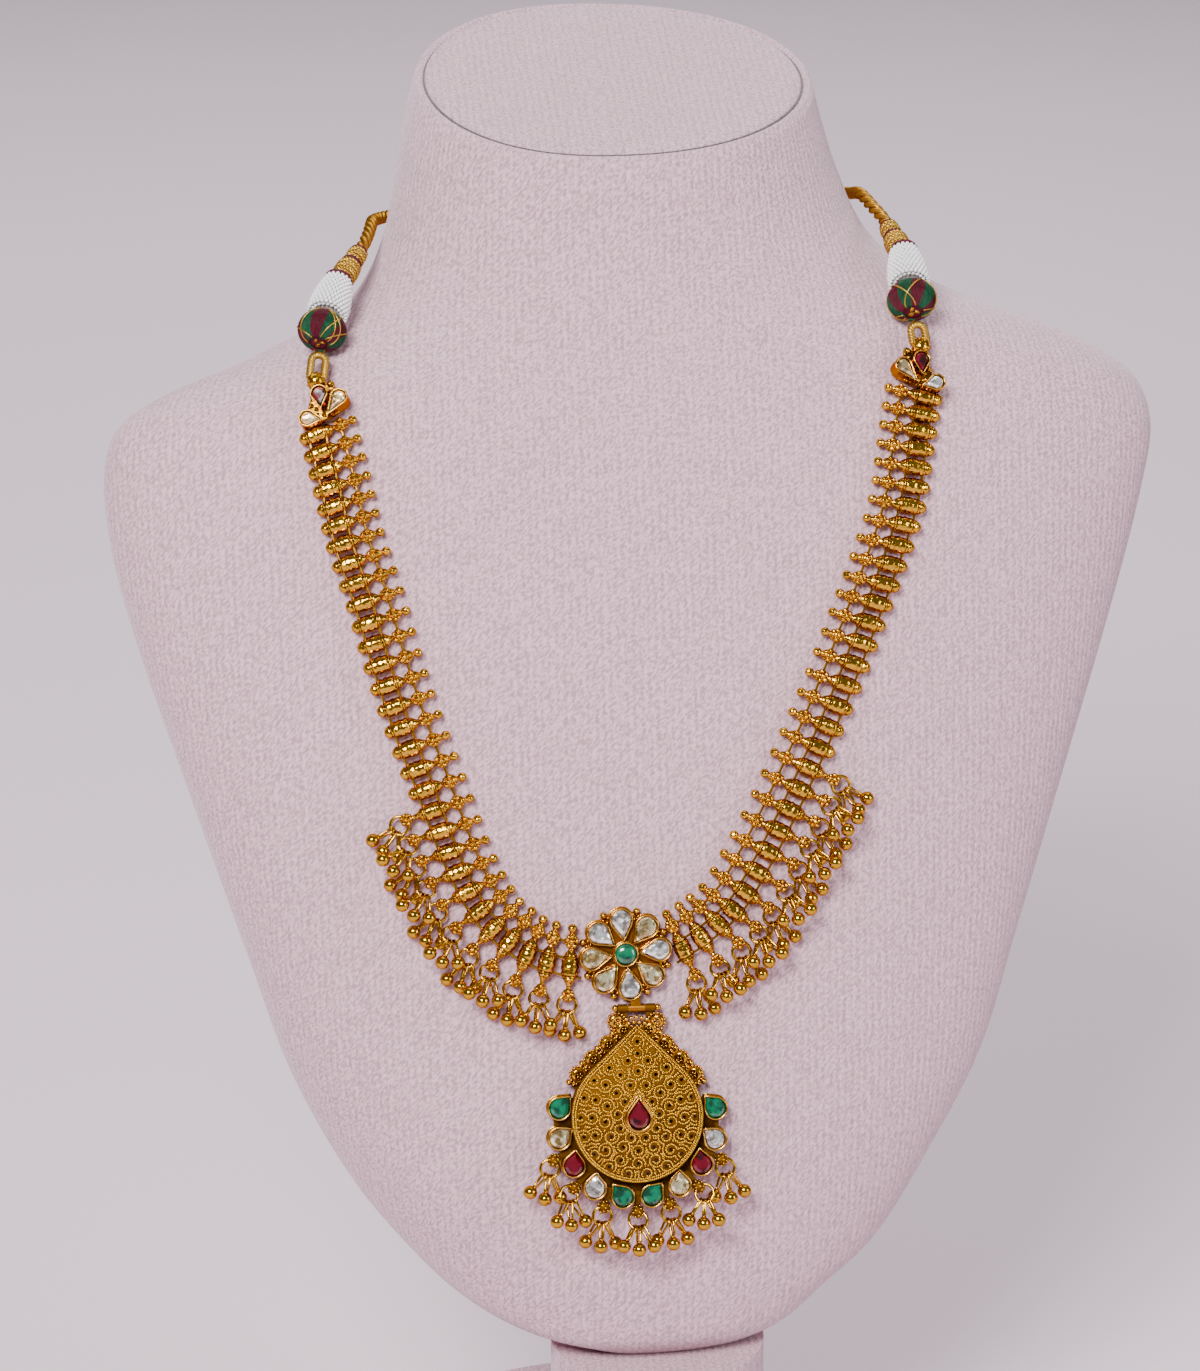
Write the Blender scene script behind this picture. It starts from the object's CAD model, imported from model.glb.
import math
import bpy
import numpy as np
from mathutils import Matrix, Vector


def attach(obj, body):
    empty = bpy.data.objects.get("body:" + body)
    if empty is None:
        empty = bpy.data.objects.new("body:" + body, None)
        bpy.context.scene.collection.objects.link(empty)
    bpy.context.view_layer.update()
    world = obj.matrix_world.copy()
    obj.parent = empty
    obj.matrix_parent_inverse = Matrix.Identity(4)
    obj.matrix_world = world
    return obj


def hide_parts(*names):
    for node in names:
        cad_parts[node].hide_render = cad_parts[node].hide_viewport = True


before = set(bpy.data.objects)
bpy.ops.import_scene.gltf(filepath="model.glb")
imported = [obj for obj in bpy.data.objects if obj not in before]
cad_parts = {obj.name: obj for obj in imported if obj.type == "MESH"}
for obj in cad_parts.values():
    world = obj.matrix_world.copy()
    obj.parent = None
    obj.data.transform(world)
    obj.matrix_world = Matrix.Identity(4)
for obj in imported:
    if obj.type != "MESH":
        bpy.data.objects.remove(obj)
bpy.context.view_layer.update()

# Camera, floor and light
# A long lens looks square on to the leaning chest, a little from the left, as a product
# photographer sets it. The floor is a plain pale sheet, and the light is soft all round.
MM = 0.001
CHEST_HEIGHT = 195.0
CHEST_LEAN = math.radians(18)
BASE_BEHIND, LOW_END, LOW_BACK = 26.0, 133.5, 26.0
CHEST_Y = -BASE_BEHIND + LOW_END * math.sin(CHEST_LEAN) - LOW_BACK * math.cos(CHEST_LEAN)
AZIMUTH, ELEVATION, DISTANCE = math.radians(-5), math.radians(18), 0.8
SENSOR, VIEW_HEIGHT, CAMERA_ASIDE = 36, 0.2742, 0.0054


def linked(name, data):
    made = bpy.data.objects.new(name, data)
    bpy.context.scene.collection.objects.link(made)
    return made


def aim(thing, place, way):
    thing.location = place
    thing.rotation_mode = "QUATERNION"
    thing.rotation_quaternion = way.to_track_quat("-Z", "Y")


back = Vector((math.sin(AZIMUTH) * math.cos(ELEVATION), -math.cos(AZIMUTH) * math.cos(ELEVATION),
               math.sin(ELEVATION)))
to_right = Vector((math.cos(AZIMUTH), math.sin(AZIMUTH), 0))
camera_data = bpy.data.cameras.new("camera")
camera_data.sensor_width = SENSOR
camera_data.lens = SENSOR * DISTANCE / VIEW_HEIGHT
camera = linked("camera", camera_data)
aim(camera, Vector((0, CHEST_Y * MM, CHEST_HEIGHT * MM)) + back * DISTANCE - to_right * CAMERA_ASIDE, -back)
bpy.context.scene.camera = camera


def new_finish(name, colour, metallic=0.0, roughness=0.5, **sockets):
    material = bpy.data.materials.new(name)
    material.use_nodes = True
    shader = material.node_tree.nodes["Principled BSDF"]
    shader.inputs["Base Color"].default_value = (*colour, 1)
    shader.inputs["Metallic"].default_value = metallic
    shader.inputs["Roughness"].default_value = roughness
    for socket, value in sockets.items():
        shader.inputs[socket.replace("_", " ")].default_value = value
    return material


floor_mesh = bpy.data.meshes.new("floor")
floor_mesh.from_pydata([(-4, -3, 0), (4, -3, 0), (4, 6, 0), (-4, 6, 0)], [], [(0, 1, 2, 3)])
floor_mesh.materials.append(new_finish("pale floor", (0.80, 0.67, 0.75), roughness=0.8))
linked("floor", floor_mesh)

world = bpy.data.worlds.new("studio")
bpy.context.scene.world = world
world.use_nodes = True
sky = world.node_tree.nodes["Background"].inputs
sky["Color"].default_value = (0.95, 0.95, 1.0, 1)
sky["Strength"].default_value = 0.2
# Columns: place, what it looks at, width, height, power, colour
LAMPS = [
    ((-0.42, -0.92, 1.0), (0, 0, 0.19), 0.5, 0.4, 30.0, (1.0, 0.98, 0.96)),
    ((0.9, -0.6, 0.5), (0, 0, 0.19), 0.3, 0.5, 5.0, (0.98, 0.98, 1.0)),
    ((0.1, 0.3, 1.13), (0, 0, 0.23), 0.7, 0.35, 3.0, (1.0, 1.0, 1.0)),
    ((0.0, 1.3, 1.6), (0, 1.7, 0), 1.6, 1.2, 30.0, (1.0, 0.97, 1.0)),
]
for number, (place, target, width, height, power, colour) in enumerate(LAMPS):
    lamp_data = bpy.data.lights.new("softbox_%d" % number, "AREA")
    lamp_data.shape = "RECTANGLE"
    lamp_data.size, lamp_data.size_y = width, height
    lamp_data.energy, lamp_data.color = power, colour
    aim(linked("softbox_%d" % number, lamp_data), place, Vector(target) - Vector(place))

# Bust
# A shield-shaped display form with a slanted round neck, covered all over in pale lilac-white
# velvet whose fine ribs run up the chest. A round of the same cloth closes the neck.
BUST_BODY = "necklace_and_bust"
# Sections: y up the chest, z of the section's middle, its tilt, half width left, half width
# right, depth in front of the middle, depth behind it, all in mm in the chest's own frame.
BUST = np.array([
    [-133.5, -26, 20, 11.2, 25.6, 9, 12],
    [-129.5, -26, 18, 24.3, 32.8, 15, 19],
    [-124, -27, 14, 34.6, 39.7, 19, 23],
    [-115.5, -28, 9, 44.2, 50.4, 22.5, 25],
    [-100, -28, 4, 56.8, 61.3, 25.5, 28],
    [-78, -28, 0, 68.7, 73.9, 27.2, 30],
    [-55, -28, 0, 76.6, 81.8, 28, 32],
    [-16, -28, 0, 89.4, 94.6, 28, 33],
    [7, -28, 0, 96.8, 102.1, 28, 33],
    [26, -28, 0, 101.9, 108, 27.5, 33],
    [40, -28, 0, 103.8, 111.8, 26.5, 32],
    [50, -28, 0, 103.2, 113.8, 25.5, 30],
    [57, -29, 0, 99.3, 113.2, 25.5, 29],
    [63, -30, 0, 89.2, 110.2, 25.5, 28],
    [68, -32, 0, 76.8, 104, 26.5, 28],
    [73, -34, 1, 66.5, 94.9, 28, 30],
    [79, -36.5, 3, 55.6, 79.9, 30, 33],
    [86, -39, 7, 49.4, 66.2, 32, 36],
    [95, -40, 13, 45.1, 56.7, 33.5, 38],
    [107, -40, 22, 42.3, 51.2, 35.5, 39],
    [118, -39.5, 29, 40.2, 47.9, 38, 39.5],
    [127.5, -39, 33, 37.6, 45.6, 39.5, 39.5]])
SECTION_POWER = 2.2


def smooth(table, key, column):
    """One column of a table at a place between its rows, on a smooth curve through them."""
    last = len(table) - 1
    i = int(np.clip(np.searchsorted(table[:, 0], key, side="right") - 1, 0, last - 1))

    def slope(j):
        a, b = max(j - 1, 0), min(j + 1, last)
        return (table[b][column] - table[a][column]) / (table[b][0] - table[a][0])

    d = table[i + 1][0] - table[i][0]
    s = (key - table[i][0]) / d
    return (table[i][column] * (2 * s**3 - 3 * s**2 + 1) + slope(i) * d * (s**3 - 2 * s**2 + s)
            + table[i + 1][column] * (3 * s**2 - 2 * s**3) + slope(i + 1) * d * (s**3 - s**2))


# From the leaning chest's own frame to the upright one of the CAD, both in mm
STAND = np.array([
    [1, 0, 0, 0],
    [0, math.sin(CHEST_LEAN), -math.cos(CHEST_LEAN), CHEST_Y],
    [0, math.cos(CHEST_LEAN), math.sin(CHEST_LEAN), CHEST_HEIGHT],
    [0, 0, 0, 1]])


def moved(points, matrix):
    points = np.asarray(points, dtype=float)
    return points @ matrix[:3, :3].T + matrix[:3, 3]


def on_stand(points):
    return moved(points, STAND) * MM


def new_piece(name, points, faces, material, shade_smooth=True):
    mesh = bpy.data.meshes.new(name)
    mesh.from_pydata([tuple(p) for p in points], [], [tuple(f) for f in faces])
    mesh.polygons.foreach_set("use_smooth", [shade_smooth] * len(mesh.polygons))
    if material:
        mesh.materials.append(material)
    mesh.update()
    return linked(name, mesh)


def outward(points, faces):
    """The closed shape with its faces turned so that their normals point out."""
    points = np.asarray(points, dtype=float)
    volume = 0.0
    for f in faces:
        corners = points[list(f)]
        volume += (np.cross(corners[1:-1], corners[2:]) @ corners[0]).sum()
    return points, faces if volume > 0 else [tuple(reversed(f)) for f in faces]


def skinned(rings, closed=False):
    """Rings with the same number of points, joined to a shape that is capped or meets its own start."""
    rows, sides = len(rings), len(rings[0])
    faces = [(i * sides + k, i * sides + (k + 1) % sides, (i + 1) % rows * sides + (k + 1) % sides,
              (i + 1) % rows * sides + k) for i in range(rows if closed else rows - 1) for k in range(sides)]
    if not closed:
        faces += [tuple(reversed(range(sides))), tuple(range((rows - 1) * sides, rows * sides))]
    return outward(np.concatenate(rings), faces)


def bust_ring(y, sides, shrink=1.0, lift=0.0):
    s = [y] + [smooth(BUST, y, c) for c in range(1, 7)]
    angle = np.linspace(0, 2 * np.pi, sides, endpoint=False)
    c, n = np.cos(angle), np.sin(angle)
    x = np.where(c < 0, -s[3], s[4]) * np.abs(c) ** (2 / SECTION_POWER)
    z = np.where(n > 0, s[5], -s[6]) * np.abs(n)
    middle = (s[4] - s[3]) / 2
    x, z = middle + (x - middle) * shrink, z * shrink
    tilt = math.radians(s[2])
    return np.stack([x, s[0] - z * math.sin(tilt) + lift * math.cos(tilt),
                     s[1] + z * math.cos(tilt) + lift * math.sin(tilt)], axis=1)


BUST_SIDES, QUARTER, NECK_TOP = 176, 44, 127.2
heights = np.concatenate([np.linspace(-LOW_END, -120, 14), np.linspace(-118, 30, 60),
                          np.linspace(32, 90, 60), np.linspace(91, 126.6, 30)])
rings = [bust_ring(-LOW_END, BUST_SIDES, s) for s in (0.02, 0.5, 0.85)]
rings += [bust_ring(y, BUST_SIDES) for y in heights]
# The rolled edge of the neck, its seam, and the padded round that closes it
CAP = [(1.0, 0.0), (0.995, 0.45), (0.983, 0.8), (0.968, 0.75), (0.958, 0.35), (0.952, 0.2), (0.945, 0.5),
       (0.925, 1.0), (0.88, 1.35), (0.75, 1.6), (0.55, 1.7), (0.35, 1.75), (0.15, 1.75), (0.02, 1.75)]
ON_ROUND = 8
rings += [bust_ring(NECK_TOP, BUST_SIDES, shrink, lift - 0.4) for shrink, lift in CAP]


def from_middle(ring):
    """How far round the form each point of a ring lies from the middle of the chest."""
    steps = np.linalg.norm(np.roll(ring, -1, axis=0) - ring, axis=1)
    way = np.roll(np.concatenate([[0], np.cumsum(np.roll(steps, -QUARTER))[:-1]]), QUARTER)
    return np.minimum(way, steps.sum() - way)


# The ribs of the velvet keep this distance round the form, and run straight over the round
girth = [from_middle(ring) for ring in rings[:-ON_ROUND]] + [np.abs(ring[:, 0]) for ring in rings[-ON_ROUND:]]


def join(material, source, target, out=0):
    material.node_tree.links.new(source.outputs[out], target)


def add(material, kind, places=None, **values):
    """A node, with its values set and its pattern laid on the given places."""
    node = material.node_tree.nodes.new(kind)
    for key, value in values.items():
        socket = key.replace("_", " ")
        if socket in node.inputs:
            node.inputs[socket].default_value = value
        else:
            setattr(node, key, value)
    if places:
        join(material, places, node.inputs["Vector"])
    return node


def shader_of(material):
    return material.node_tree.nodes["Principled BSDF"].inputs


def surface_places(material, scale=(1, 1, 1), turn=(0, 0, 0), kind="POINT"):
    """Object coordinates, turned and scaled, for a pattern that sits on the piece."""
    mapping = add(material, "ShaderNodeMapping", vector_type=kind, Scale=scale, Rotation=turn)
    join(material, add(material, "ShaderNodeTexCoord"), mapping.inputs["Vector"], "Object")
    return mapping


def shades(colour, *stops):
    """Stops of a ramp, from (place, strength of the colour) pairs."""
    return [(place, [min(1.0, c * strength) for c in colour]) for place, strength in stops]


def ramp(material, source, stops, out=0):
    """Colours for a pattern's values, from a list of (place, colour)."""
    made = add(material, "ShaderNodeValToRGB")
    elements = made.color_ramp.elements
    while len(elements) < len(stops):
        elements.new(0.5)
    for element, (place, colour) in zip(elements, stops):
        element.position = place
        element.color = (*colour, 1)
    join(material, source, made.inputs["Fac"], out)
    return made


def mixed(material, kind, amount, first, second, out=0):
    made = add(material, "ShaderNodeMix", data_type="RGBA", blend_type=kind, Factor=amount)
    join(material, first, made.inputs[6], out)
    join(material, second, made.inputs[7])
    return made


def relief(material, source, strength, distance):
    bump = add(material, "ShaderNodeBump", Strength=strength, Distance=distance)
    join(material, source, bump.inputs["Height"])
    join(material, bump, shader_of(material)["Normal"])


def velvet_finish(name, shade, girth_name=None):
    material = new_finish(name, shade, roughness=0.95, Sheen_Weight=0.35, Sheen_Roughness=0.45,
                          Sheen_Tint=(0.96, 0.92, 0.97, 1), Specular_IOR_Level=0.15)
    # Slow changes of tone where the nap lies one way or the other, and short slanted fibres
    places = surface_places(material)
    clouds = add(material, "ShaderNodeTexNoise", places, Scale=9.0, Detail=4.0)
    slanted = surface_places(material, (1, 1, 2.2), (0, 0.7, 0), "TEXTURE")
    fibres = add(material, "ShaderNodeTexNoise", slanted, Scale=2300.0, Detail=1.0)
    tone = ramp(material, clouds, shades(shade, (0.36, 0.93), (0.66, 1.04)))
    speck = ramp(material, fibres, shades(shade, (0.36, 0.5), (0.62, 1.25)))
    pile = mixed(material, "MIX", 0.6, tone, speck)
    # Ribs of the pile run up the chest, one and a half millimetres apart
    split = add(material, "ShaderNodeSeparateXYZ", places)
    across = add(material, "ShaderNodeCombineXYZ")
    for axis in range(3):
        join(material, split, across.inputs[axis], axis)
    if girth_name:
        measured = add(material, "ShaderNodeAttribute", attribute_name=girth_name)
        join(material, measured, across.inputs[0], "Fac")
    ribs = add(material, "ShaderNodeTexWave", across, wave_type="BANDS", bands_direction="X", Scale=204.0,
               Distortion=1.2, Detail=1.0, Detail_Scale=2.0)
    valleys = ramp(material, ribs, [(0.1, (0.88, 0.88, 0.88)), (0.6, (1, 1, 1))])
    ribbed = mixed(material, "MULTIPLY", 1.0, pile, valleys, out=2)
    join(material, ribbed, shader_of(material)["Base Color"], 2)
    height = add(material, "ShaderNodeMath", operation="MULTIPLY_ADD")
    height.inputs[1].default_value = 0.45
    join(material, ribs, height.inputs[0])
    join(material, fibres, height.inputs[2])
    relief(material, height, 0.6, 0.0004)
    return material


VELVET = (0.62, 0.405, 0.47)
points, faces = skinned(rings)
bust = new_piece("velvet_bust", on_stand(points), faces, velvet_finish("lilac grey velvet", VELVET, "girth"))
lengths = bust.data.attributes.new("girth", "FLOAT", "POINT")
lengths.data.foreach_set("value", np.concatenate(girth) * MM)
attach(bust, BUST_BODY)
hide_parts("neck_bust")


def across_path(path, closed, up=(0.02, 0.01, 1)):
    """Two directions square to a path, at each of its points."""
    ahead = np.roll(path, -1, axis=0) - np.roll(path, 1, axis=0) if closed else np.gradient(path, axis=0)
    ahead /= np.linalg.norm(ahead, axis=1)[:, None]
    a = np.cross(ahead, up)
    a /= np.linalg.norm(a, axis=1)[:, None]
    return a, np.cross(a, ahead)


def tube(path, r, sides=6, closed=False, up=(0.02, 0.01, 1)):
    """A round wire along a path."""
    path = np.asarray(path, dtype=float)
    a, b = across_path(path, closed, up)
    r = np.broadcast_to(np.asarray(r, dtype=float), (len(path),))[:, None, None]
    angle = np.linspace(0, 2 * np.pi, sides, endpoint=False)[None, :, None]
    return skinned(path[:, None] + r * (np.cos(angle) * a[:, None] + np.sin(angle) * b[:, None]), closed)


# The seam that joins the round shows in front, and sinks into the pile at the back
seam_path = bust_ring(NECK_TOP, 150, 0.953, 0.1)
behind = seam_path[:, 2].mean() - seam_path[:, 2]
seam_path[:, 1] -= 0.7 * np.clip(0.3 + behind / 30, 0, 1)
seam = new_piece("cap_seam", *tube(on_stand(seam_path), 0.3 * MM, 6, closed=True),
                 velvet_finish("seam", (0.14, 0.10, 0.12)))
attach(seam, BUST_BODY)

# Foot
# The bust stands on a short column and a round base, wrapped in the same velvet. The plain
# turned solid has the right shape, so it only gets the cloth.
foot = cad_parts["bust_foot"]
foot.data.materials[0] = velvet_finish("foot velvet", VELVET)

# Strand elements
# Each element is a chased spindle of sheet gold, soldered to a granulated rosette and a tip
# ball. The lower ones end in a second rosette that carries a ring. Three wires string them.
SIDES = ((-1, "left"), (1, "right"))
ELEMENTS, FIRST_WITH_DROPS = 30, 19
# Columns: element, x and y of the spindle's middle, and the way its tip points, in degrees
STRANDS = {
    -1: np.array([[0, -60.2, 51.6, 19.5], [3, -57.8, 40.9, 17], [6, -55.5, 29.7, 16], [9, -51.9, 17.9, 17],
                  [12, -48.7, 5.5, 16.5], [15, -44.9, -7.2, 19], [18, -40.5, -19.7, 18],
                  [21, -36.3, -32.2, 17], [23, -32.8, -40.3, 25], [25, -28.1, -47.8, 43.5],
                  [26, -24.9, -50.5, 52], [27, -21.4, -53.1, 64], [28, -17.5, -54.8, 74.5],
                  [29, -13, -55.8, 84.5]]),
    1: np.array([[0, 62.4, 56.5, 14], [3, 60.3, 46.2, 9], [6, 58.1, 34.7, 10.5], [9, 53.8, 23, 12.5],
                 [12, 49, 11.4, 17], [15, 43.8, -0.9, 20], [18, 38, -13.4, 25], [21, 31.8, -25.8, 26],
                 [23, 27.3, -34, 27], [25, 22.5, -42, 35], [26, 19.9, -45.5, 38], [27, 16.8, -48.1, 44],
                 [28, 13.3, -50.7, 56], [29, 9.6, -52.9, 66]])}
STRAND_RISE, TIP_AT, ROSETTE_AT, OUTER_ROSETTE_AT = 1.68, 7.7, 5.1, -5.7


def unit(v):
    return v / np.linalg.norm(v)


def chest_z(x, y):
    half = smooth(BUST, y, 3 if x < 0 else 4)
    return smooth(BUST, y, 1) + smooth(BUST, y, 5) * math.sqrt(max(0, 1 - (abs(x) / half) ** SECTION_POWER))


def chest_out(x, y):
    return unit(np.array([chest_z(x - 1, y) - chest_z(x + 1, y), chest_z(x, y - 1) - chest_z(x, y + 1), 2]))


def on_chest(x, y, rise):
    return np.array([x, y, chest_z(x, y)]) + chest_out(x, y) * rise


def frame_at(origin, along, out):
    """A rigid frame: x laid flat on the surface along a direction, z out of it."""
    along, out = np.asarray(along, dtype=float), np.asarray(out, dtype=float)
    x = unit(along - out * (along @ out))
    made = np.eye(4)
    made[:3, 0], made[:3, 1], made[:3, 2], made[:3, 3] = x, np.cross(out, x), out, origin
    return made


def chest_frame(x, y, rise, degrees, side=1):
    """A frame on the chest, whose x points a way given in degrees, mirrored for the left side."""
    a = math.radians(degrees)
    return frame_at(on_chest(x, y, rise), (side * math.cos(a), math.sin(a), 0), chest_out(x, y))


def turned(axis, degrees):
    """A turn about one of the axes, 0 to 2."""
    made = np.eye(4)
    a, b = (axis + 1) % 3, (axis + 2) % 3
    c, s = math.cos(math.radians(degrees)), math.sin(math.radians(degrees))
    made[a, a], made[a, b], made[b, a], made[b, b] = c, -s, s, c
    return made


def shifted(x, y, z=0.0):
    made = np.eye(4)
    made[:3, 3] = (x, y, z)
    return made


def element_frame(side, i):
    x, y, degrees = (smooth(STRANDS[side], i, c) for c in (1, 2, 3))
    return chest_frame(x, y, STRAND_RISE, degrees, -side)


def lathe(profile, sides, axis=0):
    """A closed shape turned round an axis. The profile is (radius, place along the axis) pairs."""
    angle = np.linspace(0, 2 * np.pi, sides, endpoint=False)
    rings = [np.stack([np.full(sides, float(along)), r * np.cos(angle), r * np.sin(angle)], axis=1)
             for r, along in profile]
    return skinned([np.roll(ring, axis, axis=1) for ring in rings])


def ball(centre, r, sides=12, rows=8, axis=2):
    arc = np.radians(np.linspace(-90, 90, rows + 1))
    points, faces = lathe([(max(0.02, math.cos(a)) * r, math.sin(a) * r) for a in arc], sides, axis)
    return points + np.asarray(centre, dtype=float), faces


def granule(centre, r):
    """A tiny gold ball. There are hundreds, so each has only a few dozen faces."""
    arc = np.radians([-66, -24, 24, 66])
    points, faces = lathe([(math.cos(a) * r, math.sin(a) * r) for a in arc], 7, axis=2)
    return points + np.asarray(centre, dtype=float), faces


def fused(shapes):
    """Several (points, faces) shapes as one."""
    points, faces, start = [], [], 0
    for p, f in shapes:
        points.append(p)
        faces += [tuple(start + i for i in face) for face in f]
        start += len(p)
    return np.concatenate(points), faces


def repeat_tree():
    """Puts a piece on every point of a cloud, turned as the point's own turn says."""
    tree = bpy.data.node_groups.new("repeat a piece", "GeometryNodeTree")
    sockets = {"Places": "Geometry", "Piece": "Object", "Unit": "Float", "Finish": "Material"}
    for name, kind in sockets.items():
        tree.interface.new_socket(name, in_out="INPUT", socket_type="NodeSocket" + kind)
    tree.interface.new_socket("Geometry", in_out="OUTPUT", socket_type="NodeSocketGeometry")
    new, link = tree.nodes.new, tree.links.new
    start, end = new("NodeGroupInput"), new("NodeGroupOutput")
    info, place = new("GeometryNodeObjectInfo"), new("GeometryNodeInstanceOnPoints")
    turn = new("GeometryNodeInputNamedAttribute")
    turn.data_type = "QUATERNION"
    turn.inputs["Name"].default_value = "turn"
    real, paint = new("GeometryNodeRealizeInstances"), new("GeometryNodeSetMaterial")
    link(start.outputs["Places"], place.inputs["Points"])
    link(start.outputs["Piece"], info.inputs["Object"])
    link(info.outputs["Geometry"], place.inputs["Instance"])
    link(turn.outputs["Attribute"], place.inputs["Rotation"])
    link(start.outputs["Unit"], place.inputs["Scale"])
    link(place.outputs[0], real.inputs[0])
    link(real.outputs[0], paint.inputs["Geometry"])
    link(start.outputs["Finish"], paint.inputs["Material"])
    link(paint.outputs[0], end.inputs[0])
    return tree


REPEAT = repeat_tree()


def repeat(name, shape, frames, material, body, node=None, shade_smooth=True):
    """Lays a shape, in mm, at each of the frames, in the chest's own frame, as one plain mesh."""
    pattern = new_piece(name + "_pattern", *shape, None, shade_smooth)
    worlds = [STAND @ m for m in frames]
    cloud = bpy.data.meshes.new(name + "_places")
    cloud.from_pydata([tuple(w[:3, 3] * MM) for w in worlds], [], [])
    turns = cloud.attributes.new("turn", "QUATERNION", "POINT")
    turns.data.foreach_set("value", [v for w in worlds for v in Matrix(w[:3, :3].tolist()).to_quaternion()])
    host = linked(name + "_host", cloud)
    modifier = host.modifiers.new("repeat", "NODES")
    modifier.node_group = REPEAT
    values = {"Piece": pattern, "Unit": MM, "Finish": material}
    for item in REPEAT.interface.items_tree:
        if item.in_out == "INPUT" and item.name in values:
            modifier[item.identifier] = values[item.name]
    bpy.context.view_layer.update()
    mesh = bpy.data.meshes.new_from_object(host.evaluated_get(bpy.context.evaluated_depsgraph_get()))
    bpy.data.objects.remove(host)
    bpy.data.objects.remove(pattern)
    mesh.name = name
    made = linked(name, mesh)
    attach(made, body)
    if node:
        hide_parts(node)


def gold_finish(name, light, deep, roughness=0.14, grain=1800.0, bump=0.25, metallic=1.0, cut=False):
    """High-carat gold: yellow on the crowns, deeper and redder in the hollows, softly hammered."""
    material = new_finish(name, light, metallic=metallic, roughness=roughness,
                          Specular_Tint=(0.62, 0.26, 0.04, 1))
    places = surface_places(material)
    tone = add(material, "ShaderNodeTexNoise", places, Scale=300.0, Detail=3.0)
    edges = add(material, "ShaderNodeNewGeometry")
    hollows = ramp(material, edges, [(0.42, deep), (0.52, light)], "Pointiness")
    worn = ramp(material, tone, shades(light, (0.38, 0.82), (0.62, 1)))
    join(material, mixed(material, "MULTIPLY", 0.55, hollows, worn), shader_of(material)["Base Color"], 2)
    rough = add(material, "ShaderNodeMapRange", To_Min=roughness * 0.7, To_Max=roughness * 1.4)
    join(material, tone, rough.inputs["Value"])
    join(material, rough, shader_of(material)["Roughness"])
    if cut:
        hammer = add(material, "ShaderNodeTexVoronoi", places, Scale=grain)
    else:
        hammer = add(material, "ShaderNodeTexNoise", places, Scale=grain, Detail=2.0)
    relief(material, hammer, bump, 0.0001)
    return material


gold = gold_finish("antique gold", (0.68, 0.44, 0.045), (0.22, 0.09, 0.005))
chased_gold = gold_finish("chased gold", (0.74, 0.48, 0.055), (0.30, 0.13, 0.008), grain=1500.0, bump=0.9,
                          cut=True)
pale_gold = gold_finish("pale gold wire", (0.68, 0.44, 0.06), (0.25, 0.11, 0.01), roughness=0.2, bump=0.1)
ROSETTE_R, OUTER_ROSETTE_R, ROSETTE_CORE, ROSETTE_GRAIN = 1.55, 1.42, 0.7, 0.37


def rosette(at, r):
    """A granulated bead: twelve granules on a core, one of them in front with five round it."""
    shapes = [ball((at, 0, 0), r * ROSETTE_CORE, 10, 6, axis=0)]
    for ring_z, count, start in ((1, 1, 0), (0.447, 5, 0), (-0.447, 5, 36), (-1, 1, 0)):
        for k in range(count):
            a = math.radians(start + 360 * k / count)
            wide = math.sqrt(max(0, 1 - ring_z**2)) * r * ROSETTE_CORE
            centre = (at + wide * math.cos(a), wide * math.sin(a), r * ROSETTE_CORE * ring_z)
            shapes.append(ball(centre, r * ROSETTE_GRAIN, 8, 5))
    return shapes


# Radius and place along the spindle: from its tip end to its middle, and the blunt far end
SPINDLE = [(0.5, 3.9), (0.52, 3.5), (0.68, 3.2), (0.92, 2.9), (1.12, 2.55), (1.26, 2.3), (1.08, 2.2),
           (1.08, 2.1), (1.42, 2.02), (1.46, 1.88), (1.16, 1.8), (1.16, 1.7), (1.48, 1.6), (1.54, 1.3),
           (1.58, 1.0), (1.61, 0.7), (1.62, 0.35), (1.62, 0)]
BLUNT = [(1.62, -0.35), (1.61, -0.7), (1.58, -1.0), (1.54, -1.3), (1.48, -1.6), (1.18, -1.7), (1.18, -1.8),
         (1.44, -1.88), (1.4, -2.02), (1.1, -2.1), (1.1, -2.2), (1.3, -2.35), (1.14, -2.9), (0.86, -3.3),
         (0.5, -3.6), (0.1, -3.7)]
SPINDLE_FULLER, CHASING = 1.07, 0.13


def spindle(far_end):
    """The chased spindle, with engraved lines near its ends."""
    points, faces = lathe([(radius * SPINDLE_FULLER, x) for radius, x in SPINDLE + far_end], 28)
    # Shallow chased leaves across the belly
    r = np.hypot(points[:, 1], points[:, 2])
    angle = np.arctan2(points[:, 2], points[:, 1])
    belly = np.clip((1.65 - np.abs(points[:, 0])) * 2, 0, 1)
    wave = np.cos(7 * angle + 2.4 * points[:, 0]) * np.cos(7 * angle - 2.4 * points[:, 0])
    points[:, 1:] *= (1 + CHASING * belly * (wave - 0.5) / np.maximum(r, 0.2))[:, None]
    return points, faces


def tip():
    neck = lathe([(0.5, 3.6), (0.5, 4.2), (0.56, 6.3), (0.52, 6.6), (0.5, 7.0)], 12)
    collar = lathe([(0.5, 6.3), (0.74, 6.42), (0.74, 6.6), (0.5, 6.72)], 12)
    return [neck, collar, ball((TIP_AT + 0.05, 0, 0), 0.92, 16, 10, axis=0)]


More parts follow.
